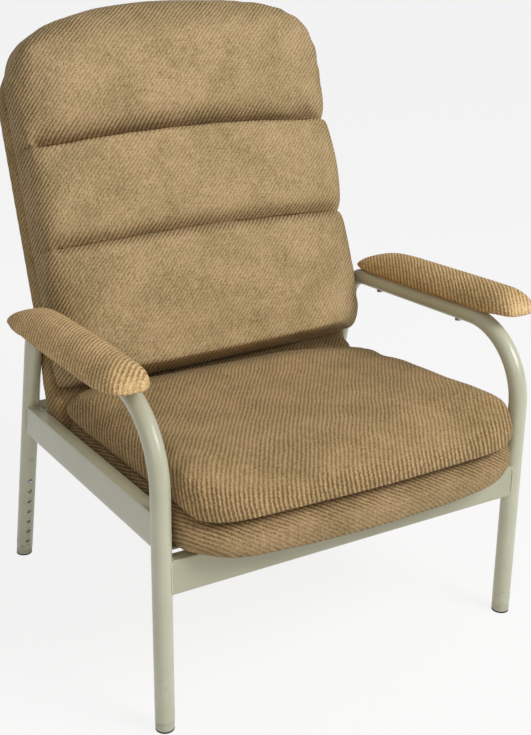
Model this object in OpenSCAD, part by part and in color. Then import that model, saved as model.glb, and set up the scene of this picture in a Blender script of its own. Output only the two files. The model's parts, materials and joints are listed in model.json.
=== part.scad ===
// High-back patient chair with height-adjustable legs.
// Two bent side tubes, welded rails, a two-layer seat, a three-pillow back and padded arms.
// X runs across the chair, +Y to the rear and +Z up. The origin is on the floor, at the middle of the chair.

/* [Side frames] */
// Outer diameter of the bent side tubes
tube_od = 32; // [28:0.5:36]
// Wall of the bent side tubes
tube_wall = 2; // [1.5:0.1:2.5]
// Distance between the left and right leg axes
leg_span = 700; // [620:5:780]
// Distance on the floor from the front-leg axis to the rear-leg axis
leg_base = 644; // [610:2:680]
// Height of the arm tube's axis over the front leg
arm_height = 546; // [530:1:580]
// Fall of the arm towards the rear, in degrees
arm_fall = 1.8; // [0.5:0.1:4]
// Rake of the rear legs, in degrees
rear_rake = 14.7; // [12:0.1:17]
// Bend radius of the tube axis at the front of the arm
front_bend_r = 130; // [110:1:140]
// Bend radius of the tube axis at the rear of the arm
rear_bend_r = 62; // [50:1:70]
// Height of the open tube ends over the floor, along the leg
tube_end = 20; // [17:0.5:23]

/* [Rails] */
// Depth of the rectangular rails, upright in the frame
rail_h = 58; // [50:1:62]
// Thickness of the rectangular rails
rail_t = 25; // [20:0.5:28]
// Wall of the rectangular rails
rail_wall = 2; // [1.5:0.1:3]
// Height of the side rails' underside at the front legs
side_rail_z = 322; // [318:1:330]
// Fall of the seat and side rails towards the rear, in degrees
seat_fall = 2.2; // [1:0.1:3.5]
// Height of the front rail's top
front_rail_top = 301; // [290:0.5:301]
// Distance along the rear legs from the floor to the rear rail's underside
rear_rail_at = 311; // [306:1:318]
// Leg length of the angle that carries the seat board
bearer_leg = 40; // [34:1:44]
// Thickness of the angle that carries the seat board
bearer_t = 4; // [3:0.5:5]
// Depth of the seat board's underside below the side rails' underside
seat_drop = 18; // [16:0.5:18]

/* [Adjustable legs] */
// Distance between neighbouring height settings
height_step = 25; // [22:0.5:25]
// Number of height settings
height_settings = 7; // [5:1:7]
// Height of the top setting's hole over the floor
button_z = 191; // [188:0.5:198]
// Height of the stop rivet over the floor
stop_z = 240; // [230:1:255]
// Diameter of the stop rivet
stop_d = 6; // [5:0.5:8]
// How far the stop rivet reaches into the tube from its outer face
stop_reach = 12; // [8:0.5:14]
// Side gap between the side tube's bore and the inner leg
leg_play = 1.5; // [1.2:0.1:2]
// Wall of the inner leg
extension_wall = 2; // [1.5:0.1:2.5]
// Length of the bush inside the tube
bush_insert = 14; // [8:0.5:15]
// Height of the bush's collar below the tube
bush_collar = 3; // [2:0.5:6]
// Height of the guide ring at the top of the inner leg
glide_h = 15; // [10:1:20]
// Diameter of the snap button
button_d = 8; // [6:0.5:9]
// How far the button stands out of the side tube
button_proud = 2.5; // [1.5:0.1:3]
// Width of the leaf spring behind the button
spring_w = 9; // [6:0.5:10]
// Thickness of the leaf spring
spring_t = 0.8; // [0.6:0.1:1]
// Length of the leaf spring's two arms
spring_arm = 34; // [28:1:38]
// Wall of the rubber foot round the inner leg
ferrule_wall = 3; // [1.2:0.1:3.3]
// Thickness of the rubber foot under the inner leg
ferrule_sole = 3; // [2:0.5:4]

/* [Seat] */
// Gap between the upholstery and the side frames
side_gap = 6; // [5:0.5:14]
// Distance of the seat's front corners ahead of the front-leg axis
seat_front = 54; // [40:1:60]
// How far the seat's front bows ahead of its corners
seat_bow = 35; // [20:1:45]
// Thickness of the plywood seat board
seat_board_t = 18; // [15:0.5:18]
// Margin of upholstery round the seat board
seat_margin = 12; // [8:1:16]
// Height of the seat's lower upholstered layer
base_pad_h = 74; // [68:1:80]
// Height of the upper cushion at its edge
cushion_h = 50; // [34:1:52]
// Extra height of the upper cushion at its crown
cushion_crown = 16; // [8:1:26]
// How far the padding hangs down ahead of the front rail
front_droop = 8; // [0:0.5:10]
// Gap between upholstered pieces
cloth_gap = 0.6; // [0.4:0.1:1]

/* [Back] */
// Recline of the back from upright, in degrees
recline = 20.4; // [18:0.1:22]
// Distance from the front-leg axis to the foot of the back's rear face
back_y = 501; // [495:1:504]
// Height of the foot of the back's rear face
back_z = 330; // [326:1:338]
// Distance along the back from its foot to the panel's lower edge
panel_from = 4; // [2:1:20]
// Distance along the back from its foot to the panel's top
panel_to = 760; // [720:1:780]
// Height of the back's rounded top
back_arch = 182; // [150:1:200]
// Thickness of the upholstered back panel
panel_t = 45; // [40:1:50]
// Thickness of the plywood back board
back_board_t = 12; // [9:0.5:15]
// Margin of upholstery round the back board
back_margin = 13; // [8:1:20]
// How far the pillows stop short of the panel's sides
pillow_inset = 2; // [1:0.5:12]
// Distance along the back from its foot to the pillows' lower edge
pillow_from = 56; // [52:1:70]
// Height of the lower pillow along the back
lower_pillow_h = 262; // [230:1:270]
// Height of the middle pillow along the back
middle_pillow_h = 194; // [170:1:200]
// Height of the upper pillow along the back
upper_pillow_h = 249; // [220:1:250]
// Depth of the pillows at their crown
pillow_depth = 124; // [100:1:130]
// Depth of the sewn channels between the pillows, from the crown
channel_depth = 58; // [30:1:70]
// Distance of each upright from the leg axis at its side
upright_in = 150; // [110:1:200]
// Width of the uprights
upright_w = 50; // [40:1:60]
// Thickness of the uprights
upright_t = 10; // [8:0.5:10]
// Bend radius of the uprights' centre line
upright_bend_r = 20; // [14:1:30]
// Length of each upright above its bend
upright_run = 560; // [480:5:600]

/* [Arms] */
// Distance of the arm pads' front ends behind the front-leg axis
arm_pad_from = 36; // [25:1:50]
// Length of the arm pads
arm_pad_len = 452; // [400:1:460]
// Width of the arm pads
arm_pad_w = 90; // [80:1:100]
// Height of the arm pads at their crown
arm_pad_h = 46; // [40:1:54]
// Distance of the arm pads' middle outside the tube axis
arm_pad_shift = 25; // [20:1:30]
// Thickness of the arm pads' plywood cores
arm_board_t = 12; // [10:0.5:14]
// Margin of upholstery round the arm cores
arm_margin = 9; // [7:0.5:12]
// Depth of the groove that seats an arm core on its tube
saddle = 2.5; // [1:0.5:3]

/* [Fasteners] */
// Shank diameter of the screws through the arm tubes and the seat bearers
screw_d = 6; // [5:0.5:6]
// Shank diameter of the bolts through the rear rail and the uprights
bolt_d = 8; // [6:0.5:10]
// Clearance of a screw or bolt in its hole
hole_clear = 0.4; // [0.2:0.1:0.6]
// Depth of the screws and bolts in the boards
board_grip = 9; // [6:0.5:9]

/* [Clearances] */
// Gap left at a welded or bedded joint
weld_gap = 0.05; // [0.02:0.01:0.1]
// Running clearance of sliding pieces
run_gap = 0.3; // [0.25:0.05:0.4]

/* [Hidden] */
$fn = 48;
LEFT = -1;
RIGHT = 1;
LEGS = ["front_left", "front_right", "rear_left", "rear_right"];

// Colours
PAINT = "#d3d6c6";
STEEL = "#b4b6b8";
RUBBER = "#c4c5b4";
NYLON = "#d9d9d0";
PLY = "#c8a878";
CLOTH = "#b0925f";
CLOTH_DARK = "#8d6c42";

// Side tube: the axis as corner points in the YZ plane
tube_r = tube_od / 2;
tube_bore_r = tube_r - tube_wall;
front_corner = [0, arm_height];
rear_corner_y = (leg_base - tan(rear_rake) * arm_height) / (1 - tan(rear_rake) * tan(arm_fall));
rear_corner = [rear_corner_y, arm_height - tan(arm_fall) * rear_corner_y];
past = 1;
lap = 1;
lap_step = 0.06;

// Adjustable legs, measured along each leg from the floor
extension_r = tube_bore_r - leg_play;
extension_bore_r = extension_r - extension_wall;
hole_d = button_d + 2 * run_gap;
foot_r = extension_r + ferrule_wall;
foot_top = tube_end - bush_collar - run_gap;
flange_r = button_d / 2 + 1.5;
flange_t = 1.5;
flange_seat = sqrt(extension_bore_r * extension_bore_r - flange_r * flange_r) - 0.1;
rivet_head_r = stop_d / 2 + 2;
rivet_head_h = 1.6;
dome_h = 1.2;
glide_gap = 0.4;

// Seat, in a frame that falls with the side rails
seat_half = leg_span / 2 - tube_r - side_gap;
rail_inner = leg_span / 2 - rail_t / 2;
board_low = -seat_drop;
base_low = board_low + cloth_gap;
base_high = base_low + base_pad_h;
cushion_low = base_high + 2 * cloth_gap;
panel_front_y = back_y - panel_t / cos(recline);
back_clear = 3;
base_rear = panel_front_y + tan(recline) * (side_rail_z + base_low - back_z) - back_clear;
cushion_rear_top = side_rail_z + cushion_low + cushion_h - sin(seat_fall) * panel_front_y;
pillow_rear = panel_t + cloth_gap;
pillow_foot_y = back_y + sin(recline) * pillow_from - cos(recline) * pillow_rear;
pillow_foot_z = back_z + cos(recline) * pillow_from + sin(recline) * pillow_rear;
tuck = 8;
cushion_rear = pillow_foot_y - (cushion_rear_top - pillow_foot_z) / tan(recline) + tuck;
board_front = -24;
droop_from = -rail_t / 2 - past;
droop_run = 50;
pad_corner = 10;
board_corner = 12;
pad_draw = 3;
base_crown = 2;
base_roll = 0.045;
cushion_roll = 0.055;
floor_share = 0.7;
outline_steps = 48;
corner_bias = 7;

// Back, in a frame that leans with it: x across, y to the rear, z up along the back
back_half = seat_half;
channel_a = pillow_from + lower_pillow_h;
channel_b = channel_a + middle_pillow_h;
pillow_top = channel_b + upper_pillow_h;
ring_steps = 34;
panel_power = 2.2;
pillow_power = 3.3;
channel_draw = 9;
front_round = 0.62;
rear_round = 0.3;
panel_side_round = 0.25;
panel_edge_round = 0.35;
edge_thin = 0.3;
edge_run = 6;
pillow_shares = [0, 0.03, 0.1, 0.22, 0.5, 0.78, 0.9, 0.97];
crown_shares = [0, 0.03, 0.1, 0.22, 0.4, 0.55, 0.7, 0.8, 0.88, 0.94, 0.98, 0.995];

// Arms
arm_corner = 4.5;
arm_front_run = 50;
arm_rear_run = 150;
arm_dome = 0.55;
arm_steps = 6.3;

// Uprights: the centre line as corner points in the YZ plane
upright_x = leg_span / 2 - upright_in;
upright_low = rear_rail_at + 4;
crank_y = leg_base - (rail_t + upright_t) / 2 / cos(rear_rake);
lean_y = back_y + (upright_t / 2 + weld_gap) / cos(recline) - tan(recline) * back_z;
crank_z = (crank_y - lean_y) / (tan(recline) + tan(rear_rake));
crank = [crank_y - tan(rear_rake) * crank_z, crank_z];
upright_foot = crank - (crank[1] / cos(rear_rake) - upright_low) * [-sin(rear_rake), cos(rear_rake)];
upright_head = crank + upright_run * [sin(recline), cos(recline)];
upright_top = (upright_head[1] - back_z) / cos(recline);

// Fasteners
screw_head_r = screw_d;
screw_head_h = screw_d * 0.6;
bolt_head_r = bolt_d * 0.85;
bolt_head_h = bolt_d * 0.6;
arm_screw_at = [170, 410];
seat_bolt_at = [70, 350];
seat_bolt_in = 8;
rail_bolt_in = 14;
back_bolt_in = 30;
back_bolt_rows = 3;

// The chair stands with the middle of its box over the origin
front_reach = -seat_front - seat_bow;
rear_reach = back_y + sin(recline) * panel_to;
origin_y = (front_reach + rear_reach) / 2;

function heading(p, q) = atan2(q[1] - p[1], q[0] - p[0]);
function along(p, angle, d) = p + d * [cos(angle), sin(angle)];
function signed_pow(v, e) = sign(v) * pow(abs(v), e);

// Moves the chair from the front-leg axis to its own origin
module placed() {
    translate([0, -origin_y, 0])
        children();
}

// A bar along corner points in the YZ plane, with right-hand bends.
// The first child is the section of the straights, which lap a little way over the bends.
// The second child is the section of the bends, a hair slimmer, so that the two merge cleanly.
module bent_bar(points, radii) {
    last = len(points) - 1;
    turn = [for (i = [0:last - 1]) heading(points[i], points[i + 1])];
    cut = [
        for (i = [0:last])
            i == 0 || i == last ? 0 : radii[i - 1] * tan((turn[i - 1] - turn[i]) / 2) - lap
    ];
    rotate([90, 0, 90]) {
        for (i = [0:last - 1]) {
            run = norm(points[i + 1] - points[i]) - cut[i] - cut[i + 1];
            translate(along(points[i], turn[i], cut[i]))
                rotate([0, 0, turn[i]])
                    rotate([90, 0, 90])
                        linear_extrude(run)
                            children(0);
        }
        for (i = [1:last - 1]) {
            hub = along(along(points[i], turn[i - 1], -cut[i] - lap), turn[i - 1] - 90, radii[i - 1]);
            translate(hub)
                rotate([0, 0, turn[i] + 90])
                    rotate_extrude(angle = turn[i - 1] - turn[i])
                        translate([radii[i - 1], 0])
                            children(1);
        }
    }
}

// A closed skin over rings of points that run anticlockwise, from the lowest ring to the highest
module skin(rings) {
    m = len(rings[0]);
    n = len(rings);
    foot = n * m;
    middle_low = [for (k = [0:2]) [for (q = rings[0]) q[k]] * [for (q = rings[0]) 1] / m];
    middle_high = [for (k = [0:2]) [for (q = rings[n - 1]) q[k]] * [for (q = rings[0]) 1] / m];
    points = concat([for (r = rings) each r], [middle_low, middle_high]);
    walls = [
        for (i = [0:n - 2], j = [0:m - 1], half = [0, 1])
            let (a = i * m + j, b = i * m + (j + 1) % m)
                half == 0 ? [a, a + m, b] : [b, a + m, b + m]
    ];
    floor_fan = [for (j = [0:m - 1]) [foot, j, (j + 1) % m]];
    crown_fan = [for (j = [0:m - 1]) [foot + 1, (n - 1) * m + (j + 1) % m, (n - 1) * m + j]];
    polyhedron(points, concat(walls, floor_fan, crown_fan));
}

// A step round an outline as a direction, with the steps closer together at the corners
function step_angle(i, steps) = 360 * i / steps + corner_bias * sin(1440 * i / steps);

// A square of half width 1 with rounded corners, met in a direction from its middle
function squircle(a, p) = [cos(a), sin(a)] / pow(pow(abs(cos(a)), p) + pow(abs(sin(a)), p), 1 / p);

// A squared outline with rounded corners, sides drawn in and a bowed front
function soft_outline(half_w, front, rear, bow, draw, p, steps) = [
    for (i = [0:steps - 1])
        let (
            q = squircle(step_angle(i, steps), p),
            across = q[0],
            deep = q[1],
            x = half_w * across - draw * across * (1 - deep * deep),
            bowed = deep < 0 ? bow * deep * (1 - across * across) : 0
        )
            [x, (front + rear) / 2 + deep * (rear - front) / 2 + bowed]
];

// The plan of a seat pad from its bowed front to its rear
function seat_plan(rear) =
    soft_outline(seat_half, -seat_front, rear, seat_bow, pad_draw, pad_corner, outline_steps);

// The floor, side roll and crown of a pad, as [share of the outline, height]
function pad_profile(low, high, crown, roll) = concat(
    [[floor_share, low]],
    [for (a = [-90:30:90]) [1 - roll * (1 - cos(a)), (low + high) / 2 + (high - low) / 2 * sin(a)]],
    [for (k = [1:7]) let (f = 1 - k / 7.2) [f * (1 - roll), high + crown * (1 - f * f)]]
);

// Lowers a point of the seat's padding where it hangs ahead of the front rail
function drooped(q) = q - [0, 0, front_droop * min(1, max(0, (droop_from - q[1]) / droop_run))];

// The rings of a pad from its outline, its profile and the depth of its middle
function pad_rings(outline, profile, middle) = [
    for (p = profile)
        [for (q = outline) drooped([p[0] * q[0], middle + p[0] * (q[1] - middle), p[1]])]
];

// Frames of reference

module seat_frame() {
    translate([0, 0, side_rail_z])
        rotate([-seat_fall, 0, 0])
            children();
}

module back_frame() {
    translate([0, back_y, back_z])
        rotate([-recline, 0, 0])
            children();
}

module arm_frame(side) {
    translate([side * leg_span / 2, 0, arm_height])
        rotate([-arm_fall, 0, 0])
            children();
}

module rear_frame() {
    translate([0, leg_base, 0])
        rotate([rear_rake, 0, 0])
            children();
}

// Along one leg: z up from the floor, +y the way its button faces
module leg_frame(leg) {
    side = leg % 2 == 0 ? LEFT : RIGHT;
    translate([side * leg_span / 2, 0, 0])
        if (leg < 2)
            children();
        else
            rear_frame()
                rotate([0, 0, 180])
                    children();
}

function leg_stretch(leg) = leg < 2 ? 1 : 1 / cos(rear_rake);
function button_at(leg) = button_z * leg_stretch(leg);
function stop_at(leg) = stop_z * leg_stretch(leg);
function step_of(leg) = height_step * leg_stretch(leg);
function extension_top(leg) = stop_at(leg) - stop_d / 2 - run_gap;
function sole_at(leg) = ferrule_sole + (leg < 2 ? 0 : foot_r * tan(rear_rake));

// Side frames

module tube_run(r, over) {
    rear_dir = [sin(rear_rake), -cos(rear_rake)];
    rear_end = [leg_base, 0] - (tube_end - over) * rear_dir;
    bent_bar([[0, tube_end - over], front_corner, rear_corner, rear_end], [front_bend_r, rear_bend_r]) {
        circle(r);
        circle(r - lap_step);
    }
}

module tube_holes(leg) {
    leg_frame(leg) {
        for (i = [0:height_settings - 1])
            translate([0, 0, button_at(leg) - i * step_of(leg)])
                rotate([-90, 0, 0])
                    cylinder(h = tube_od, d = hole_d);
        translate([0, 0, stop_at(leg)])
            rotate([-90, 0, 0])
                cylinder(h = tube_od, d = stop_d + 2 * weld_gap);
    }
}

module side_tube(side) {
    front = side == LEFT ? 0 : 1;
    color(PAINT)
        placed()
            difference() {
                translate([side * leg_span / 2, 0, 0])
                    tube_run(tube_r, 0);
                translate([side * leg_span / 2, 0, 0])
                    tube_run(tube_bore_r, past);
                tube_holes(front);
                tube_holes(front + 2);
                for (y = arm_screw_at)
                    arm_frame(side)
                        translate([0, y, 0])
                            cylinder(h = 2 * tube_od, d = screw_d + hole_clear, center = true);
            }
}

module legs_cut() {
    for (side = [LEFT, RIGHT])
        translate([side * leg_span / 2, 0, 0]) {
            cylinder(h = arm_height, r = tube_r + weld_gap);
            rear_frame()
                cylinder(h = arm_height, r = tube_r + weld_gap);
        }
}

// A rectangular tube along its own x, centred on x and y, standing on z = 0
module rail(length) {
    difference() {
        translate([-length / 2, -rail_t / 2, 0])
            cube([length, rail_t, rail_h]);
        translate([-length / 2 - past, -rail_t / 2 + rail_wall, rail_wall])
            cube([length + 2 * past, rail_t - 2 * rail_wall, rail_h - 2 * rail_wall]);
    }
}

module side_rail(side) {
    run = (leg_base - tan(rear_rake) * (side_rail_z + rail_h / 2)) / cos(seat_fall);
    color(PAINT)
        placed()
            difference() {
                seat_frame()
                    translate([side * leg_span / 2, run / 2, 0])
                        rotate([0, 0, 90])
                            rail(run);
                legs_cut();
            }
}

module front_rail() {
    color(PAINT)
        placed()
            difference() {
                translate([0, 0, front_rail_top - rail_h])
                    rail(leg_span);
                legs_cut();
            }
}

module rear_rail() {
    color(PAINT)
        placed()
            difference() {
                rear_frame()
                    translate([0, 0, rear_rail_at])
                        rail(2 * (rail_inner - weld_gap));
                legs_cut();
                rail_bolt_places()
                    cylinder(h = 4 * rail_t, d = bolt_d + hole_clear, center = true);
            }
}

module seat_bearer(side) {
    from = tube_r + 8;
    to = base_rear - 6;
    color(PAINT)
        placed()
            difference() {
                seat_frame()
                    mirror([side == LEFT ? 1 : 0, 0, 0])
                        translate([rail_inner - weld_gap, 0, board_low]) {
                            translate([-bearer_t, from, -bearer_t])
                                cube([bearer_t, to - from, bearer_leg]);
                            translate([-bearer_leg, from, -bearer_t])
                                cube([bearer_leg, to - from, bearer_t]);
                        }
                seat_bolt_places()
                    cylinder(h = 4 * bearer_leg, d = screw_d + hole_clear, center = true);
            }
}

// Adjustable legs

module leg_bush(leg) {
    color(NYLON)
        placed()
            leg_frame(leg)
                difference() {
                    union() {
                        translate([0, 0, tube_end])
                            cylinder(h = bush_insert, r = tube_bore_r - weld_gap);
                        translate([0, 0, tube_end - bush_collar])
                            cylinder(h = bush_collar, r1 = foot_r, r2 = tube_r);
                    }
                    translate([0, 0, tube_end - bush_collar - past])
                        cylinder(h = bush_insert + bush_collar + 2 * past, r = extension_r + run_gap);
                }
}

module leg_extension(leg) {
    low = sole_at(leg);
    color(PAINT)
        placed()
            leg_frame(leg)
                difference() {
                    translate([0, 0, low])
                        cylinder(h = extension_top(leg) - low, r = extension_r);
                    translate([0, 0, low - past])
                        cylinder(h = extension_top(leg) - low + 2 * past, r = extension_bore_r);
                    translate([0, 0, button_at(leg)])
                        rotate([-90, 0, 0])
                            cylinder(h = tube_od, d = button_d + 2 * run_gap);
                }
}

module leg_glide(leg) {
    color(NYLON)
        placed()
            leg_frame(leg)
                translate([0, 0, extension_top(leg) - glide_h])
                    difference() {
                        cylinder(h = glide_h, r = tube_bore_r - glide_gap);
                        translate([0, 0, -past])
                            cylinder(h = glide_h + 2 * past, r = extension_r + weld_gap);
                    }
}

module leg_ferrule(leg) {
    color(RUBBER)
        placed()
            difference() {
                leg_frame(leg)
                    difference() {
                        translate([0, 0, -tube_od])
                            cylinder(h = foot_top + tube_od, r = foot_r);
                        translate([0, 0, sole_at(leg) - weld_gap])
                            cylinder(h = foot_top, r = extension_r + weld_gap);
                    }
                translate([-leg_span, -leg_base, -2 * tube_od])
                    cube([2 * leg_span, 3 * leg_base, 2 * tube_od]);
            }
}

module snap_button(leg) {
    shank = tube_r + button_proud - dome_h - flange_seat;
    color(STEEL)
        placed()
            leg_frame(leg)
                translate([0, flange_seat, button_at(leg)])
                    rotate([-90, 0, 0]) {
                        translate([0, 0, -flange_t])
                            cylinder(h = flange_t, r = flange_r);
                        cylinder(h = shank, d = button_d);
                        translate([0, 0, shank])
                            cylinder(h = dome_h, r1 = button_d / 2, r2 = button_d / 2 - dome_h);
                    }
}

// A V of leaf spring below the button: one arm behind the button, one on the far wall
module snap_spring(leg) {
    reach = sqrt(extension_bore_r * extension_bore_r - spring_w * spring_w / 4) - 0.2;
    near = flange_seat - flange_t - 0.1;
    foot = [-reach / 3, button_at(leg) - spring_arm];
    tip = [near, button_at(leg) + flange_r / 2];
    heel = [-reach, button_at(leg) + flange_r / 2];
    color(STEEL)
        placed()
            leg_frame(leg)
                rotate([90, 0, 90])
                    linear_extrude(spring_w, center = true)
                        polygon([
                            foot, [near, button_at(leg) - flange_r], tip,
                            tip - [spring_t, 0], [near - spring_t, button_at(leg) - flange_r],
                            foot + [0, 2 * spring_t], [-reach + spring_t, button_at(leg) - flange_r],
                            heel + [spring_t, 0], heel, [-reach, button_at(leg) - flange_r]
                        ]);
}

// Blind rivets on the buttons' side, painted over with the frame
module stop_rivets() {
    color(PAINT)
        placed()
            for (leg = [0:3])
                leg_frame(leg)
                    translate([0, tube_r + weld_gap, stop_at(leg)])
                        rotate([-90, 0, 0]) {
                            translate([0, 0, -stop_reach])
                                cylinder(h = stop_reach, d = stop_d);
                            cylinder(h = rivet_head_h, r1 = rivet_head_r, r2 = rivet_head_r - 1);
                        }
}

// Seat

module seat_outline(inset) {
    half = seat_half - inset;
    polygon(soft_outline(half, board_front + inset, base_rear - inset, 0, 0, board_corner, outline_steps));
}

module seat_bolt_places() {
    seat_frame()
        for (side = [LEFT, RIGHT], y = seat_bolt_at)
            translate([side * (rail_inner - bearer_leg + seat_bolt_in), y, board_low])
                children();
}

module seat_board() {
    color(PLY)
        placed()
            difference() {
                seat_frame()
                    translate([0, 0, board_low])
                        linear_extrude(seat_board_t)
                            seat_outline(seat_margin);
                seat_bolt_places()
                    cylinder(h = 2 * (board_grip + past), d = screw_d + hole_clear, center = true);
            }
}

module seat_base_pad() {
    middle = (base_rear - seat_front) / 2;
    profile = pad_profile(base_low, base_high - base_crown, base_crown, base_roll);
    color(CLOTH_DARK)
        placed()
            seat_frame()
                difference() {
                    skin(pad_rings(seat_plan(base_rear), profile, middle));
                    translate([0, 0, board_low - past])
                        linear_extrude(seat_board_t + past + weld_gap)
                            seat_outline(seat_margin - cloth_gap);
                }
}

module seat_cushion() {
    middle = (cushion_rear - seat_front) / 2;
    profile = pad_profile(cushion_low, cushion_low + cushion_h, cushion_crown, cushion_roll);
    color(CLOTH)
        placed()
            seat_frame()
                skin(pad_rings(seat_plan(cushion_rear), profile, middle));
}

module seat_bolts() {
    color(STEEL)
        placed()
            seat_bolt_places() {
                translate([0, 0, -bearer_t - weld_gap])
                    cylinder(h = bearer_t + board_grip, d = screw_d);
                translate([0, 0, -bearer_t - weld_gap - screw_head_h])
                    cylinder(h = screw_head_h, r = screw_head_r);
            }
}

// Back

// The back's outline: straight sides under a half-oval top
module back_outline(inset) {
    half = back_half - inset;
    low = panel_from + inset;
    spring_line = panel_to - back_arch;
    arch = back_arch - inset;
    e = 2 / panel_power;
    polygon(concat(
        [[-half, low], [half, low]],
        [
            for (a = [0:7.5:180])
                [half * signed_pow(cos(a), e), spring_line + arch * signed_pow(sin(a), e)]
        ]
    ));
}

module back_board() {
    color(PLY)
        placed()
            back_frame()
                difference() {
                    rotate([90, 0, 0])
                        linear_extrude(back_board_t)
                            back_outline(back_margin);
                    back_bolt_places()
                        cylinder(h = 2 * board_grip, d = bolt_d + hole_clear, center = true);
                }
}

// Half width of the back at a height along it, under a rounded top
function back_width(z, half, top, power) =
    half * pow(1 - pow(max(0, z - top + back_arch) / back_arch, power), 1 / power);

// The upholstered panel in slices across the back: rounded at its sides, drawn in to its top
module back_panel_pad() {
    heights = concat(
        [0, 5, 16],
        [for (k = [1:6]) (panel_to - back_arch - panel_from) * k / 6],
        [for (a = [9:9:81]) panel_to - panel_from - back_arch * (1 - sin(a))],
        [panel_to - panel_from - 1.2]
    );
    rings = [
        for (h = heights)
            let (
                z = panel_from + h,
                thin = 1 - edge_thin * exp(-min(h, panel_to - z) / edge_run),
                half = back_width(z, back_half, panel_to, panel_power) - edge_run * (1 - thin)
            )
                [
                    for (j = [0:ring_steps - 1])
                        let (a = 360 * j / ring_steps)
                            [
                                half * signed_pow(cos(a), panel_side_round),
                                panel_t / 2 * (thin * signed_pow(sin(a), panel_edge_round) - 1),
                                z
                            ]
                ]
    ];
    color(CLOTH_DARK)
        placed()
            back_frame()
                difference() {
                    skin(rings);
                    rotate([90, 0, 0])
                        translate([0, 0, -past])
                            linear_extrude(back_board_t + past + weld_gap)
                                back_outline(back_margin - cloth_gap);
                }
}

// Fullness of a pillow from 0 at its channel to 1 at its middle
function fullness(t) = pow(1 - pow(abs(2 * t - 1), 3), 0.45);

// Rows of one pillow, as [height along the back, fullness]
function pillow_rows(low, high, shares) = [for (t = shares) [low + (high - low) * t, fullness(t)]];

module back_cushion() {
    rows = concat(
        pillow_rows(pillow_from, channel_a, pillow_shares),
        pillow_rows(channel_a, channel_b, pillow_shares),
        pillow_rows(channel_b, pillow_top, crown_shares)
    );
    shallow = pillow_depth - channel_depth;
    rings = [
        for (r = rows)
            let (
                full = back_width(r[0], back_half - pillow_inset, pillow_top, pillow_power),
                half = full - channel_draw * (1 - r[1]),
                deep = shallow + channel_depth * r[1]
            )
                [
                    for (j = [0:ring_steps - 1])
                        let (a = 360 * j / ring_steps, e = sin(a) < 0 ? front_round : rear_round)
                            [
                                half * signed_pow(cos(a), e),
                                -pillow_rear - deep / 2 + deep / 2 * signed_pow(sin(a), e),
                                r[0]
                            ]
                ]
    ];
    color(CLOTH)
        placed()
            back_frame()
                skin(rings);
}

module back_upright(side) {
    color(PAINT)
        placed()
            difference() {
                translate([side * upright_x, 0, 0])
                    bent_bar([upright_foot, crank, upright_head], [upright_bend_r]) {
                        square([upright_t, upright_w], center = true);
                        square([upright_t - 2 * lap_step, upright_w - 2 * lap_step], center = true);
                    }
                rail_bolt_places()
                    cylinder(h = 4 * rail_t, d = bolt_d + hole_clear, center = true);
                back_frame()
                    back_bolt_places()
                        cylinder(h = 4 * upright_t, d = bolt_d + hole_clear, center = true);
            }
}

// Two bolts for each upright, from behind the rear rail
module rail_bolt_places() {
    rear_frame()
        for (side = [LEFT, RIGHT], end = [-1, 1])
            translate([side * upright_x, rail_t / 2, rear_rail_at + rail_h / 2])
                translate([0, 0, end * (rail_h / 2 - rail_bolt_in)])
                    rotate([90, 0, 0])
                        children();
}

module rail_bolts() {
    color(STEEL)
        placed()
            rail_bolt_places() {
                cylinder(h = rail_t + upright_t, d = bolt_d);
                translate([0, 0, -bolt_head_h - weld_gap])
                    cylinder(h = bolt_head_h, r = bolt_head_r);
                translate([0, 0, -weld_gap])
                    cylinder(h = weld_gap, d = bolt_d);
            }
}

// Bolts through each upright into the back board, in the back's frame
module back_bolt_places() {
    low = (crank[1] - back_z) / cos(recline) + 2 * back_bolt_in;
    high = upright_top - back_bolt_in;
    for (side = [LEFT, RIGHT], k = [0:back_bolt_rows - 1])
        translate([side * upright_x, 0, low + (high - low) * k / (back_bolt_rows - 1)])
            rotate([90, 0, 0])
                children();
}

module back_bolts() {
    color(STEEL)
        placed()
            back_frame()
                back_bolt_places() {
                    translate([0, 0, -upright_t - 2 * weld_gap])
                        cylinder(h = upright_t + 2 * weld_gap + board_grip - past, d = bolt_d);
                    translate([0, 0, -upright_t - 2 * weld_gap - bolt_head_h])
                        cylinder(h = bolt_head_h, r = bolt_head_r);
                }
}

// Arms

// The plan of an arm pad from its front to its rear: full sides and rounded ends
function arm_plan(half_w, front, rear) = [
    for (i = [0:outline_steps - 1])
        let (q = squircle(step_angle(i, outline_steps), arm_corner))
            [half_w * q[0], (front + rear) / 2 + q[1] * (rear - front) / 2]
];

module arm_outline(inset) {
    translate([arm_pad_shift, arm_pad_from])
        polygon(arm_plan(arm_pad_w / 2 - inset, 2 * inset, arm_pad_len - 2 * inset));
}

module arm_board(side) {
    low = tube_r - saddle;
    color(PLY)
        placed()
            arm_frame(side)
                mirror([side == LEFT ? 1 : 0, 0, 0])
                    difference() {
                        translate([0, 0, low])
                            linear_extrude(arm_board_t)
                                arm_outline(arm_margin);
                        rotate([-90, 0, 0])
                            cylinder(h = arm_pad_from + arm_pad_len, r = tube_r + weld_gap);
                        for (y = arm_screw_at)
                            translate([0, y, low - past])
                                cylinder(h = board_grip + past, d = screw_d + hole_clear);
                    }
}

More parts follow.
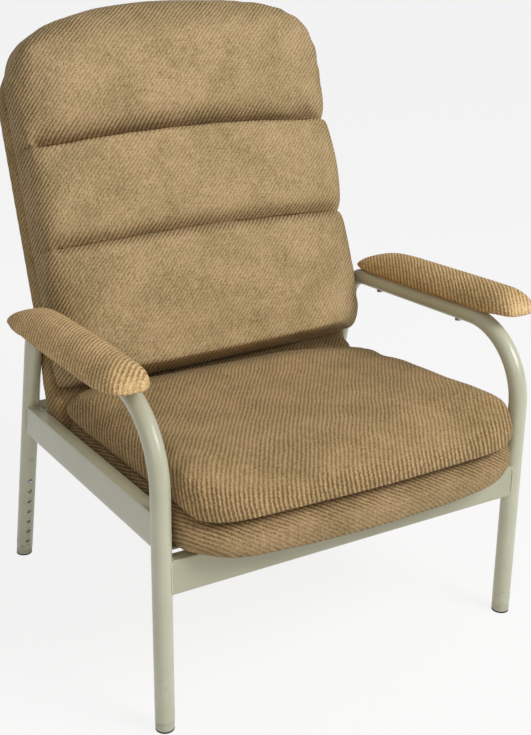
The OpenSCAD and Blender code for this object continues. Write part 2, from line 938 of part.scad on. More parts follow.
// A domed pad with a flat underside, drawn in more gently at its ends than at its sides
module arm_pad(side) {
    low = tube_r + cloth_gap;
    profile = concat(
        [[0.97, 0], [1, 0.08], [0.995, 0.2]],
        [for (k = [1:6]) let (f = 1 - k / arm_steps) [f, pow(1 - f * f, arm_dome)]]
    );
    rings = [
        for (p = profile)
            let (
                inward = 1 - p[0],
                rear = arm_pad_len - arm_rear_run * inward,
                plan = arm_plan(arm_pad_w / 2 * p[0], arm_front_run * inward, rear)
            )
                [for (q = plan) [q[0], q[1], p[1] * arm_pad_h]]
    ];
    color(CLOTH)
        placed()
            arm_frame(side)
                mirror([side == LEFT ? 1 : 0, 0, 0])
                    difference() {
                        translate([arm_pad_shift, arm_pad_from, low])
                            skin(rings);
                        translate([0, 0, low - past])
                            linear_extrude(arm_board_t - saddle - cloth_gap + past + weld_gap)
                                arm_outline(arm_margin - cloth_gap);
                    }
}

module arm_screws() {
    color(STEEL)
        placed()
            for (side = [LEFT, RIGHT], y = arm_screw_at)
                arm_frame(side)
                    translate([0, y, -tube_r - weld_gap]) {
                        cylinder(h = 2 * tube_r - saddle + board_grip, d = screw_d);
                        translate([0, 0, -screw_head_h])
                            cylinder(h = screw_head_h, r = screw_head_r);
                    }
}

side_tube(LEFT);  // side_tube_left
side_tube(RIGHT);  // side_tube_right
side_rail(LEFT);  // side_rail_left
side_rail(RIGHT);  // side_rail_right
front_rail();
rear_rail();
seat_bearer(LEFT);  // seat_bearer_left
seat_bearer(RIGHT);  // seat_bearer_right
back_upright(LEFT);  // back_upright_left
back_upright(RIGHT);  // back_upright_right
stop_rivets();
for (leg = [0:3]) {
    leg_bush(leg);
    leg_extension(leg);
    leg_glide(leg);
    leg_ferrule(leg);
    snap_button(leg);
    snap_spring(leg);
}
seat_board();
seat_base_pad();
seat_cushion();
seat_bolts();
back_board();
back_panel_pad();
back_cushion();
back_bolts();
rail_bolts();
arm_board(LEFT);  // arm_board_left
arm_board(RIGHT);  // arm_board_right
arm_pad(LEFT);  // arm_pad_left
arm_pad(RIGHT);  // arm_pad_right
arm_screws();
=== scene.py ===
# %% [markdown]
# # A high-backed patient chair
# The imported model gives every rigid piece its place: bent side tubes, welded rails, telescopic legs and boards.
# This lesson dresses it. Most of the steel keeps its CAD shape and gets a finish, the rails get rounded edges, and
# the soft pieces are made again as stuffed cloth. Everything is in metres, in the same frame as the CAD.

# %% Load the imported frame
import json
import math

import bpy
import numpy as np
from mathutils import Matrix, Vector, noise


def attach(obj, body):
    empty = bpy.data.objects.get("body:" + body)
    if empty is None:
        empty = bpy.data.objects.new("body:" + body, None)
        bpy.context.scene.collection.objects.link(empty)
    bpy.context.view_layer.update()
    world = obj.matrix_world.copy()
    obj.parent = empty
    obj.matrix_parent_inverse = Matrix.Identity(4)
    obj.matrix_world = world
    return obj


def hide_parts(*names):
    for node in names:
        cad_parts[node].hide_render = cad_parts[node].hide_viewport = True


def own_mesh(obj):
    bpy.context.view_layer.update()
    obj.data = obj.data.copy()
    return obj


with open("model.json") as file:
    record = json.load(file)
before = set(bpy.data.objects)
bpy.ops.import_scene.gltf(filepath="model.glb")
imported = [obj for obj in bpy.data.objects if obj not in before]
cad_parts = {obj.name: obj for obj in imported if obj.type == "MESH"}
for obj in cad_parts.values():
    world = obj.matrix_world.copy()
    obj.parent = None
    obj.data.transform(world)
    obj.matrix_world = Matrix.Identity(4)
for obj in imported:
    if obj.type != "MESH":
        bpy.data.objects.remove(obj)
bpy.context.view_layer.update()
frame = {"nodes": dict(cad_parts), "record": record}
scene = bpy.context.scene

# %% [markdown]
# ## The view
# The camera stands where the photographer stood: left of the middle, a little above the back, with a normal lens.
# The picture is a cut-out of a larger one, so the lens's centre isn't the picture's centre, and the shift says by
# how much.

# %% Camera
PICTURE_W, PICTURE_H = 531, 735
SENSOR = 36
FOCAL_PIXELS = 1152.7
LENS_CENTRE = (229.5, 334.9)
EYE = (-1.0185, -1.7223, 1.1812)
TILT, TURN = math.radians(71.21), math.radians(-29.60)

bpy.ops.object.select_all(action="DESELECT")
bpy.ops.object.camera_add(location=EYE, rotation=(TILT, 0, TURN))
camera = bpy.context.object
camera.name = "photo_camera"
camera.data.sensor_width = SENSOR
camera.data.lens = FOCAL_PIXELS * SENSOR / PICTURE_H
camera.data.shift_x = (PICTURE_W / 2 - LENS_CENTRE[0]) / PICTURE_H
camera.data.shift_y = (LENS_CENTRE[1] - PICTURE_H / 2) / PICTURE_H
scene.camera = camera
scene.view_settings.view_transform = "Standard"
print("lens", round(camera.data.lens, 2), "shift", round(camera.data.shift_x, 4), round(camera.data.shift_y, 4))

# %% [markdown]
# ## Shader maths as plain Python
# A finish is a Principled shader with nodes in front of it. Drawing those nodes one by one is slow to read, so a
# `Wire` stands for one socket, and adding or multiplying wires adds the Math nodes. Every other node comes from
# one method, `add`, which sets the node up first and then fills its sockets.

# %% The Wire and Finish classes
class Wire:
    """One socket of a finish, so that shader maths reads like a formula."""

    def __init__(self, finish, socket):
        self.finish = finish
        self.socket = socket

    def maths(self, operation, *others):
        return self.finish.add("ShaderNodeMath", {"operation": operation}, dict(enumerate((self, *others))))

    def __add__(self, other):
        return self.maths("ADD", other)

    def __sub__(self, other):
        return self.maths("SUBTRACT", other)

    def __rsub__(self, other):
        return self.finish.add("ShaderNodeMath", {"operation": "SUBTRACT"}, {0: other, 1: self})

    def __mul__(self, other):
        return self.maths("MULTIPLY", other)

    __radd__ = __add__
    __rmul__ = __mul__

    def wave(self):
        """1 at every whole number and 0 halfway between."""
        return (self * math.tau).maths("COSINE") * 0.5 + 0.5

    def ramp(self, low, high):
        """0 below low, 1 above high and a soft step between."""
        settings = {"interpolation_type": "SMOOTHSTEP"}
        return self.finish.add("ShaderNodeMapRange", settings, {"Value": self, 1: low, 2: high})

    def dot(self, direction):
        settings = {"operation": "DOT_PRODUCT"}
        return self.finish.add("ShaderNodeVectorMath", settings, {0: self, 1: direction}, "Value")


class Finish:
    """One material: its Principled shader and the nodes that feed it."""

    def __init__(self, name, **constants):
        self.material = bpy.data.materials.new(name)
        self.material.use_nodes = True
        self.tree = self.material.node_tree
        self.shader = self.tree.nodes["Principled BSDF"]
        self.place = self.add("ShaderNodeTexCoord", out="Object")
        for socket, value in constants.items():
            self.shader.inputs[socket.replace("_", " ")].default_value = value

    def add(self, kind, settings=None, inputs=None, out=0):
        node = self.tree.nodes.new(kind)
        for name, value in (settings or {}).items():
            setattr(node, name, value)
        for key, value in (inputs or {}).items():
            self.feed(node.inputs[key], value)
        return Wire(self, node.outputs[out])

    def feed(self, socket, value):
        if isinstance(value, Wire):
            self.tree.links.new(value.socket, socket)
        else:
            socket.default_value = value

    def noise(self, scale, detail=2.0, place=None):
        return self.add("ShaderNodeTexNoise", None, {"Vector": place or self.place, "Scale": scale, "Detail": detail})

    def mix(self, share, low, high):
        return self.add("ShaderNodeMix", {"data_type": "RGBA"}, {0: share, 6: low, 7: high}, 2)

    def bump(self, height, strength, distance):
        return self.add("ShaderNodeBump", None, {"Height": height, "Strength": strength, "Distance": distance})

    def show(self, **sockets):
        for socket, value in sockets.items():
            self.feed(self.shader.inputs[socket.replace("_", " ")], value)
        return self.material


def tone(red, green, blue):
    """A colour as it looks on screen, 0 to 255, as the linear values that a shader takes."""
    def linear(v):
        v /= 255
        return v / 12.92 if v <= 0.04045 else ((v + 0.055) / 1.055) ** 2.4
    return (linear(red), linear(green), linear(blue), 1)


print("a mid grey is", [round(v, 3) for v in tone(128, 128, 128)])

# %% [markdown]
# ## Paint and hardware
# The frame is powder coated in a pale grey-green cream. The rails carry the same coat drawn a shade darker, which is
# painted shade for the seat above them. Powder coat flows to a gloss with a faint orange peel, and it dulls in
# patches where hands and cleaning cloths go. Near the floor it is scuffed.
# The hardware is zinc-plated steel, the leg bushes are moulded nylon in the frame's colour, the foot caps are
# rubber, and the boards are birch plywood.

# %% Frame paint and zinc plate
SCUFF_HEIGHTS = (0.015, 0.16)


def frame_paint(name, fresh, dulled):
    """Powder coat between two tones, with scuffs that fade out over the height of a shoe."""
    coat = Finish(name, Coat_Roughness=0.12, IOR=1.5)
    peel = coat.noise(260, 2)
    patch = coat.noise(7, 3)
    height = coat.place.dot((0, 0, 1))
    scuff = (1 - height.ramp(*SCUFF_HEIGHTS)) * coat.noise(90, 4).ramp(0.56, 0.7)
    clean = coat.mix(patch.ramp(0.35, 0.65), tone(*fresh), tone(*dulled))
    return coat.show(
        Base_Color=coat.mix(scuff * 0.45, clean, tone(150, 146, 128)),
        Roughness=0.27 + patch * 0.12 + scuff * 0.3,
        Coat_Weight=0.35 - scuff * 0.3,
        Normal=coat.bump(peel, 0.12, 0.0006),
    )


def zinc_steel():
    plate = Finish("zinc_steel", Metallic=1.0)
    grain = plate.noise(500, 3)
    return plate.show(
        Base_Color=plate.mix(plate.noise(60, 2), tone(176, 178, 180), tone(150, 152, 156)),
        Roughness=0.28 + grain * 0.2,
        Normal=plate.bump(grain, 0.15, 0.0002),
    )


PAINT = frame_paint("frame_paint", (203, 203, 180), (196, 196, 172))
# The rails' coat is the frame paint drawn darker: painted shade for the seat above them.
SHADED_RAIL_PAINT = frame_paint("rail_paint_painted_shade", (187, 186, 160), (180, 179, 152))
STEEL = zinc_steel()
print("finishes", PAINT.name, SHADED_RAIL_PAINT.name, STEEL.name)


# %% Nylon, rubber and plywood
SOLE_HEIGHTS = (0.0026, 0.0036)
PLY_STRETCH = (34, 2, 2)


def moulded_nylon():
    nylon = Finish("moulded_nylon")
    grain = nylon.noise(420, 2)
    return nylon.show(
        Base_Color=nylon.mix(nylon.noise(30), tone(200, 200, 182), tone(190, 191, 172)),
        Roughness=0.42 + grain * 0.15,
        Normal=nylon.bump(grain, 0.1, 0.0003),
    )


def foot_rubber():
    """Cream rubber caps, with a dark worn sole where they stand on the floor."""
    rubber = Finish("foot_rubber")
    dust = rubber.noise(160, 4)
    sole = 1 - (rubber.place.dot((0, 0, 1)) + (dust - 0.5) * 0.0012).ramp(*SOLE_HEIGHTS)
    cream = rubber.mix(dust.ramp(0.45, 0.75), tone(192, 191, 172), tone(176, 174, 154))
    return rubber.show(
        Base_Color=rubber.mix(sole, cream, tone(42, 40, 37)),
        Roughness=0.5 + sole * 0.3 + dust * 0.1,
        Normal=rubber.bump(dust, 0.15, 0.0004),
    )


def birch_ply():
    ply = Finish("birch_ply")
    stretched = ply.add("ShaderNodeMapping", None, {"Vector": ply.place, "Scale": PLY_STRETCH})
    grain = ply.noise(6, 5, stretched)
    return ply.show(
        Base_Color=ply.mix(grain.ramp(0.3, 0.7), tone(205, 175, 128), tone(176, 140, 92)),
        Roughness=0.6 + grain * 0.2,
        Normal=ply.bump(grain, 0.2, 0.0004),
    )


NYLON = moulded_nylon()
RUBBER = foot_rubber()
PLY = birch_ply()
print("finishes", NYLON.name, RUBBER.name, PLY.name)

# %% [markdown]
# ## The upholstery cloth
# The cloth is a heavy woven cord in sand and brown: diagonal ribs 6 to 7 mm apart, each a row of small twisted
# beads, with softer and darker patches where the yarn varies. A pattern on a flat map would stretch round the
# edges of a cushion. Here the ribs are planes through space that lean against every face of the piece, so they
# run diagonally on the front, the sides and the rolls without smearing.

# %% Woven cord
BEAD_PITCH = 0.0042
ROW_SHIFT = 0.37
WEFT_STRETCH, WARP_STRETCH = (50, 700, 700), (700, 50, 50)
OLIVE_DYE = ((116, 91, 54), (199, 176, 129))
ROSY_DYE = ((126, 97, 61), (208, 181, 137))


def woven_cord(name, across, along, pitch, facing, least, most, shade=(1, 1, 1)):
    """Cord cloth with ribs across a direction. They show most where the cloth turns away from its facing side, and
    fade where a rib would be seen end on and draw rings. Where the cloth turns away it is also drawn a little darker,
    which is painted shade."""
    cloth = Finish(name, Sheen_Weight=0.15, Sheen_Roughness=0.45, Sheen_Tint=tone(214, 196, 160))
    across = Vector(across).normalized()
    along = Vector(along).normalized() / BEAD_PITCH
    normal = cloth.add("ShaderNodeTexCoord", out="Normal")
    end_on = normal.dot(across).maths("ABSOLUTE").ramp(0.78, 0.97)
    turned = (1 - normal.dot(Vector(facing).normalized())).ramp(0.015, 0.32)
    sway = cloth.noise(16, 2)
    speck = cloth.noise(330, 2)
    fleck = cloth.noise(760, 1)
    drift = cloth.noise(13, 4)
    weft, warp = (
        cloth.noise(1, 2, cloth.add("ShaderNodeMapping", None, {"Vector": cloth.place, "Scale": stretch}))
        for stretch in (WEFT_STRETCH, WARP_STRETCH))
    ribs = cloth.place.dot(across / pitch) + (sway - 0.5) * 1.2 + (speck - 0.5) * 0.8
    row = ribs.maths("FLOOR")
    beads = cloth.place.dot(along) + row * ROW_SHIFT + (speck - 0.5) * 1.2
    yarn = ribs.wave() * (0.55 + 0.45 * beads.wave())
    relief = (least + (most - least) * turned) * (1 - end_on)
    slub = (weft + warp - 1) * (0.7 - 0.3 * turned)
    # Painted shade: cloth turned away from its facing side is drawn darker by turned * 0.07.
    lit = 0.58 - turned * 0.07 + (yarn - 0.42) * relief + (drift - 0.5) * 0.35
    lit += (speck - 0.5) * 0.6 + (fleck - 0.5) * 0.8 + slub
    patch = drift.ramp(0.34, 0.66)

    # shade scales the dyes of each piece: painted light where it is above 1, painted shade where it is below 1.
    def dyed_and_shaded(levels):
        return tone(*(level * part for level, part in zip(levels, shade)))

    share = lit.ramp(0, 1)
    olive, rosy = (cloth.mix(share, dyed_and_shaded(dark), dyed_and_shaded(light)) for dark, light in (OLIVE_DYE, ROSY_DYE))
    height = yarn * relief + (speck - 0.5) * 0.5 + slub * 0.3
    return cloth.show(
        Base_Color=cloth.mix(patch, olive, rosy),
        Roughness=0.96 - yarn * 0.14,
        Normal=cloth.bump(height, 0.7, 0.0018),
    )


BACK_FACE = (0, -0.937, 0.349)
BACK_RIBS = ((0.707, -0.50, -0.54), (0.707, 0.246, 0.663), 0.0061)
LEVEL_RIBS = ((0.80, -0.57, 0.20), (0.57, 0.80, 0.10))
ARM_RIBS = {"left": ((0.70, -0.70, -0.10), (0.70, 0.70, 0.10), 0.0071), "right": (*LEVEL_RIBS, 0.0060)}
# The arm pads get the cloth drawn lighter than the rest: painted light on their tops.
ARM_LOOK = {"facing": (0, -1, 0), "shade": (1.20, 1.18, 1.15), "least": 0.3, "most": 0.75}
BASE_RIBS = ((0.55, 0.30, 0.78), (0.75, 0.2, -0.6), 0.0060)

# One cloth in a shade of its own for each piece: painted shade on the side panel, the seat and the seat base.
BACK_CLOTH = woven_cord("back_cloth", *BACK_RIBS, facing=BACK_FACE, least=0.36, most=0.95)
SIDE_CLOTH = woven_cord("side_cloth", *BACK_RIBS, facing=(0, 1, 0), shade=(0.94, 0.92, 0.88), least=0.3, most=0.6)
SEAT_CLOTH = woven_cord("seat_cloth", *LEVEL_RIBS, pitch=0.0066, facing=(0, -0.1, 1), shade=(0.96, 0.935, 0.89),
                        least=0.58, most=1.0)
ARM_CLOTH = {side: woven_cord(f"arm_cloth_{side}", *ribs, **ARM_LOOK) for side, ribs in ARM_RIBS.items()}
BASE_CLOTH = woven_cord("base_cloth", *BASE_RIBS, facing=(0, -1, 0), shade=(0.93, 0.91, 0.89), least=0.3, most=0.8)
print("cloths", [m.name for m in (BACK_CLOTH, SEAT_CLOTH, BASE_CLOTH, SIDE_CLOTH, *ARM_CLOTH.values())])

# %% [markdown]
# ## Dressing the rigid nodes
# The record gives every node a material slot. The rigid nodes keep their CAD meshes, and only their material
# slots are filled. The soft nodes get a cloth too, until a stuffed piece stands for them.

# %% Materials by slot
SLOT_FINISH = {"paint": PAINT, "steel": STEEL, "rubber": RUBBER, "nylon": NYLON, "plywood": PLY,
               "fabric": BACK_CLOTH, "fabric_side": SIDE_CLOTH}
for part in frame["record"]["subparts"]:
    node = frame["nodes"][part["node"]]
    for material_slot in node.material_slots:
        material_slot.material = SLOT_FINISH[part["material_slot"]]

# %% [markdown]
# ## Leaning frames
# The seat falls to the rear, the back leans and the arms fall a little. Each soft piece is shaped in the frame of
# what carries it: x across, y to the rear and z up from that surface.

# %% Frames of the seat, back and arms
ORIGIN_Y = 0.338457
HALF_SPAN = 0.350


class Lean:
    """A frame at a height over the floor, tipped backwards by some degrees."""

    def __init__(self, y, z, degrees, x=0.0):
        a = math.radians(degrees)
        self.origin = np.array((x, y - ORIGIN_Y, z))
        self.axes = np.array(((1, 0, 0), (0, math.cos(a), -math.sin(a)), (0, math.sin(a), math.cos(a))))

    def inside(self, points):
        return (points - self.origin) @ self.axes.T

    def outside(self, points):
        return points @ self.axes + self.origin


SEAT = Lean(0, 0.322, 2.2)
BACK = Lean(0.501, 0.330, 20.4)
ARMS = {"left": Lean(0, 0.546, 1.8, -HALF_SPAN), "right": Lean(0, 0.546, 1.8, HALF_SPAN)}
print("back leans to", np.round(BACK.outside(np.array((0, 0, 0.76))), 3))

# %% [markdown]
# ## Working on meshes
# A few helpers stand for what a modeller does by hand: pick one object, read and move its points, apply a modifier,
# and take a copy of a CAD node. A CAD node's mesh is loose triangles, so a copy has its points merged first.

# %% Mesh helpers
SAME_POINT = 0.00002


def smooth_step(values, low, high):
    share = np.clip((values - low) / (high - low), 0, 1)
    return share * share * (3 - 2 * share)


def alone(piece):
    bpy.ops.object.select_all(action="DESELECT")
    piece.select_set(True)
    bpy.context.view_layer.objects.active = piece


def points_of(piece):
    flat = np.empty(len(piece.data.vertices) * 3)
    piece.data.vertices.foreach_get("co", flat)
    return flat.reshape(-1, 3)


def move_points(piece, points):
    piece.data.vertices.foreach_set("co", np.ascontiguousarray(points).ravel())
    piece.data.update()


def finish_modifier(piece, kind, **settings):
    alone(piece)
    modifier = piece.modifiers.new(kind.lower(), kind)
    for name, value in settings.items():
        setattr(modifier, name, value)
    bpy.ops.object.modifier_apply(modifier=modifier.name)


def copy_of(node, name):
    """A new object with its own merged copy of a CAD node's mesh."""
    piece = bpy.data.objects.new(name, frame["nodes"][node].data.copy())
    piece.data.name = name
    scene.collection.objects.link(piece)
    piece.data.materials.clear()
    alone(piece)
    bpy.ops.object.mode_set(mode="EDIT")
    bpy.ops.mesh.select_all(action="SELECT")
    bpy.ops.mesh.remove_doubles(threshold=SAME_POINT)
    bpy.ops.mesh.customdata_custom_splitnormals_clear()
    bpy.ops.object.mode_set(mode="OBJECT")
    return piece


print("points in the seat cushion's node", len(points_of(frame["nodes"]["seat_cushion"])))

# %% [markdown]
# ## Rails and welds
# The rails are drawn steel tube with a flat-oval section, and light runs along its rounded edges, while the CAD
# rails are sharp. Each rail is copied, its flat faces are joined, its bore and its end faces are taken out, its four
# long edges are bevelled, and its ends are closed again. Where a rail meets a leg there is a bead of weld under the
# paint. A circle of points is laid along the joint, given a round section as a curve, and roughened as the weld pool
# freezes in ripples.

# %% Rails with rounded edges
RAIL_EDGE = 0.0105
RAIL_STEPS = 6
FLAT_ANGLE = math.radians(0.5)
SMOOTH_ANGLE = math.radians(35)
ACROSS_RAIL = 0.1
LONG_SHARE = 0.6


def show_piece(piece, finish, body, slot, *nodes):
    """The finish of a rigid piece, the body that it goes with, and the CAD nodes that it hides."""
    piece.data.materials.clear()
    piece.data.materials.append(finish)
    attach(piece, body)
    if nodes:
        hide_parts(*nodes)
    print(piece.name, len(piece.data.polygons), "faces")


def rounded_rail(node):
    """A rail without its bore, with its four long edges rounded and its ends closed."""
    piece = copy_of(node, node + "_drawn")
    bpy.ops.object.mode_set(mode="EDIT")
    bpy.ops.mesh.select_all(action="SELECT")
    bpy.ops.mesh.dissolve_limited(angle_limit=FLAT_ANGLE)
    bpy.ops.mesh.select_mode(type="FACE")
    bpy.ops.mesh.select_all(action="DESELECT")
    bpy.ops.object.mode_set(mode="OBJECT")
    points = points_of(piece)
    middle = (points.min(axis=0) + points.max(axis=0)) / 2
    ends = points[[tuple(e.vertices) for e in piece.data.edges]]
    runs = ends[:, 1] - ends[:, 0]
    length = np.linalg.norm(runs, axis=1)
    axis = runs[length.argmax()] / length.max()
    for face in piece.data.polygons:
        away = np.array(face.center) - middle
        inward = np.dot(away - axis * (away @ axis), face.normal) < 0
        face.select = bool(inward or abs(np.dot(face.normal, axis)) > ACROSS_RAIL)
    bpy.ops.object.mode_set(mode="EDIT")
    bpy.ops.mesh.delete(type="FACE")
    bpy.ops.mesh.select_mode(type="EDGE")
    bpy.ops.mesh.select_all(action="DESELECT")
    bpy.ops.object.mode_set(mode="OBJECT")
    long = 0
    for edge in piece.data.edges:
        ends = [piece.data.vertices[v].co for v in edge.vertices]
        edge.select = (ends[1] - ends[0]).length > LONG_SHARE * length.max()
        long += edge.select
    bpy.ops.object.mode_set(mode="EDIT")
    bpy.ops.mesh.bevel(offset=RAIL_EDGE, segments=RAIL_STEPS, affect="EDGES")
    bpy.ops.mesh.select_all(action="SELECT")
    bpy.ops.mesh.fill_holes(sides=0)
    bpy.ops.object.mode_set(mode="OBJECT")
    bpy.ops.object.shade_smooth_by_angle(angle=SMOOTH_ANGLE)
    print(node, "long edges rounded:", long)
    # The rails take the darker coat, which is painted shade.
    show_piece(piece, SHADED_RAIL_PAINT, "frame", "paint", node)


for rail in ("side_rail_left", "side_rail_right", "front_rail", "rear_rail"):
    rounded_rail(rail)

# %% Weld beads
TUBE_R = 0.016
RAIL_H = 0.058
RAIL_T = 0.025
FRONT_RAIL_TOP = 0.301
REAR_RAKE = math.radians(14.7)
REAR_FLOOR_Y = 0.305543
SEAT_RAIL_REAR = 0.56
BEAD_R = 0.0021
BEAD_POINTS = 72
BEAD_STEPS = 3
BEAD_START = 0.02
RIPPLES = 420
RIPPLE_SHARE = 0.35


def rail_section():
    """Points round a rail's section with its rounded corners: across its thickness and up its depth."""
    turn = np.linspace(0, math.tau, BEAD_POINTS, endpoint=False) + BEAD_START
    reach = np.array((RAIL_T / 2 - RAIL_EDGE, RAIL_H / 2 - RAIL_EDGE))
    corner = np.sign(np.column_stack((np.cos(turn), np.sin(turn)))) * reach
    across, up = (corner + RAIL_EDGE * np.column_stack((np.cos(turn), np.sin(turn)))).T
    return across, up + RAIL_H / 2


def weld_bead(name, path):
    bpy.ops.object.select_all(action="DESELECT")
    bpy.ops.mesh.primitive_circle_add(vertices=BEAD_POINTS)
    bead = bpy.context.object
    bead.name = name
    move_points(bead, path)
    bpy.ops.object.convert(target="CURVE")
    bead.data.bevel_depth = BEAD_R
    bead.data.bevel_resolution = BEAD_STEPS
    bpy.ops.object.convert(target="MESH")
    points = points_of(bead)
    ripple = np.array([noise.noise(Vector(p) * RIPPLES) for p in points])
    centre = path[np.linalg.norm(points[:, None] - path[None], axis=2).argmin(axis=1)]
    move_points(bead, centre + (points - centre) * (1 + RIPPLE_SHARE * ripple)[:, None])
    bpy.ops.object.shade_smooth()
    show_piece(bead, PAINT, "frame", "paint")


across, up = rail_section()
into_tube = np.sqrt(TUBE_R ** 2 - across ** 2)
for side, sign in (("left", -1), ("right", 1)):
    x = sign * HALF_SPAN + across
    y = -ORIGIN_Y + into_tube
    front = SEAT.outside(np.column_stack((x, y + ORIGIN_Y, up)))
    front[:, 1] = y
    weld_bead(f"weld_side_rail_front_{side}", front)
    rear = SEAT.outside(np.column_stack((x, np.full_like(x, SEAT_RAIL_REAR), up)))
    rear[:, 1] = REAR_FLOOR_Y - math.tan(REAR_RAKE) * rear[:, 2] - into_tube / math.cos(REAR_RAKE)
    weld_bead(f"weld_side_rail_rear_{side}", rear)
    x = sign * (HALF_SPAN - into_tube)
    weld_bead(f"weld_front_rail_{side}", np.column_stack((x, across - ORIGIN_Y, FRONT_RAIL_TOP - RAIL_H + up)))

# %% [markdown]
# ## Springs behind the snap buttons
# Inside each leg a leaf spring holds the button out. Its arms close as the button is pressed. Each spring is copied
# with its points merged, and it goes with its leg.

# %% Copies of the springs
PRESS = {"front": (0, -1, 0), "rear": (0, math.cos(REAR_RAKE), math.sin(REAR_RAKE))}
for leg, press in ((f"{end}_{side}", PRESS[end]) for end in PRESS for side in ("left", "right")):
    spring = copy_of(f"snap_spring_{leg}", f"snap_spring_{leg}_drawn")
    depth = points_of(spring) @ np.array(press)
    wall = points_of(spring)[depth.argmax()]
    show_piece(spring, STEEL, f"leg_{leg}", "steel", f"snap_spring_{leg}")
    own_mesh(spring)

# %% [markdown]
# ## Stuffing
# Padded cloth is made as on a bench: a skin is sewn a little too small, then stuffed until it is tight. The copy of
# the CAD form gets an even skin by a voxel remesh, smoothing draws it in a little, and Blender's Cloth blows it up
# with a pressure inside. Points that rest on a board or on another pad are held, and no point may travel further
# than a cap.

# %% Helpers for stuffed pieces
FRAMES = 14
PRESSURE = 4.0
STEPS_A_FRAME = 4


def even_skin(piece, voxel, rounds=4):
    finish_modifier(piece, "REMESH", mode="VOXEL", voxel_size=voxel)
    finish_modifier(piece, "SMOOTH", factor=0.5, iterations=rounds)


def stuff(piece, cap, held):
    """Blows the skin up, with the held points fixed and every point's travel capped."""
    start = points_of(piece)
    group = piece.vertex_groups.new(name="held")
    group.add(np.flatnonzero(held(start)).tolist(), 1, "REPLACE")
    alone(piece)
    cloth = piece.modifiers.new("stuffing", "CLOTH")
    cloth.settings.quality = STEPS_A_FRAME
    cloth.settings.use_pressure = True
    cloth.settings.uniform_pressure_force = PRESSURE
    cloth.settings.vertex_group_mass = group.name
    cloth.settings.effector_weights.gravity = 0
    cloth.collision_settings.use_collision = False
    for moment in range(1, FRAMES + 1):
        scene.frame_set(moment)
    bpy.ops.object.modifier_apply(modifier=cloth.name)
    scene.frame_set(1)
    piece.vertex_groups.clear()
    travel = points_of(piece) - start
    length = np.linalg.norm(travel, axis=1, keepdims=True)
    travel *= cap * np.tanh(length / cap) / np.maximum(length, 1e-9)
    move_points(piece, start + travel)
    print(piece.name, "swelled by up to", round(float(length.max()) * 1000, 1), "mm before the cap")


def close_up(piece, cloth, body, node, levels=1):
    """Subdivision, smooth shading, the cloth, the body and the hidden CAD node of a padded piece."""
    if levels:
        finish_modifier(piece, "SUBSURF", levels=levels, render_levels=levels)
    alone(piece)
    bpy.ops.object.shade_smooth()
    piece.data.materials.append(cloth)
    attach(piece, body)
    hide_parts(node)
    print(piece.name, len(piece.data.polygons), "faces")


# %% [markdown]
# ## The seat
# A loose foam cushion lies on the seat's lower layer. It is crowned, its front edge rolls over, and it is flat only
# underneath, where it rests. The held points are those of its underside and of its rear end, under the back. After
# stuffing, the skin is brought to its width and crown, and then gets what years of use do to it.

# %% Shape of the two seat layers
NOSE_DROOP, CORNER_DROOP = 0.007, 0.008


def nose_droop(local):
    """Both layers sag over the front edge together, most at the corners."""
    front = smooth_step(-local[:, 1], -0.03, 0.04)
    between = smooth_step(local[:, 2], 0.0, 0.05) * (1 - smooth_step(local[:, 2], 0.065, 0.11))
    local[:, 2] -= (NOSE_DROOP + CORNER_DROOP * smooth_step(np.abs(local[:, 0]), 0.1, 0.3)) * front * between
    return local


# %% Seat cushion
CUSHION_LOW = 0.0578
CUSHION_EDGE = 0.050
CUSHION_CROWN = 0.066
CUSHION_REAR = 0.42
CUSHION_SWELL = 0.010
REST_BAND = 0.004
SIDE_FULL, SIDE_FULL_FRONT = 0.003, 0.009
REAR_CORNER = 0.026
REAR_RAISE, REAR_SLACK = 0.009, 0.017
FRONT_REACH, FRONT_RIDGE = 0.004, 0.007
RIDGE_HEIGHT, RIDGE_WIDTH = 0.008, 0.010
SEAT_HALF = 0.330
SEAT_SKIN = 0.009


def seat_cushion():
    piece = copy_of("seat_cushion", "seat_cushion_soft")
    even_skin(piece, SEAT_SKIN)

    def held(points):
        here = SEAT.inside(points)
        return (here[:, 2] < CUSHION_LOW + REST_BAND) | (here[:, 1] > CUSHION_REAR)

    stuff(piece, CUSHION_SWELL, held)
    local = SEAT.inside(points_of(piece))
    above = local[:, 2] - CUSHION_LOW
    full = np.clip(above / CUSHION_EDGE, 0, 1)
    # The sides are fuller than the sat-on middle, most towards the front.
    side = np.clip((np.abs(local[:, 0]) - 0.12) / 0.16, 0, 1)
    above *= CUSHION_CROWN / above.max()
    above += full * side ** 2 * (SIDE_FULL + SIDE_FULL_FRONT * np.clip((0.32 - local[:, 1]) / 0.25, 0, 1))
    local[:, 2] = CUSHION_LOW + np.maximum(above, 0)
    local[:, 0] *= SEAT_HALF / np.abs(local[:, 0]).max()
    # The rear corners reach under the back, whose foot pushes the rear up, and the rear right is slack.
    corner = smooth_step(local[:, 1], 0.28, 0.41) * smooth_step(np.abs(local[:, 0]), 0.2, 0.3)
    local[:, 1] += REAR_CORNER * corner * (1 - smooth_step(local[:, 2], 0.07, 0.10))
    slack = smooth_step(local[:, 0], 0.12, 0.30) * smooth_step(local[:, 1], 0.24, 0.40)
    local[:, 2] += full * (REAR_RAISE * smooth_step(local[:, 1], 0.30, 0.37) - REAR_SLACK * slack)
    # The front edge sags and rolls over to a low ridge.
    local = nose_droop(local)
    ridge = np.exp(-((local[:, 2] - CUSHION_LOW - RIDGE_HEIGHT) / RIDGE_WIDTH) ** 2)
    local[:, 1] -= (FRONT_REACH + FRONT_RIDGE * ridge) * smooth_step(-local[:, 1], -0.01, 0.05)
    move_points(piece, SEAT.outside(local))
    close_up(piece, SEAT_CLOTH, "frame", "seat_cushion")


seat_cushion()


# %% Seat base pad
BASE_SWELL = 0.006
BASE_LOW, BASE_HIGH, BASE_REAR = -0.010, 0.054, 0.4
BASE_BOTTOM = -0.016
BASE_GAP = 0.0006
REAR_LEAN = 0.55
TOP_BACK = 0.006
CORNER_RISE = 0.011


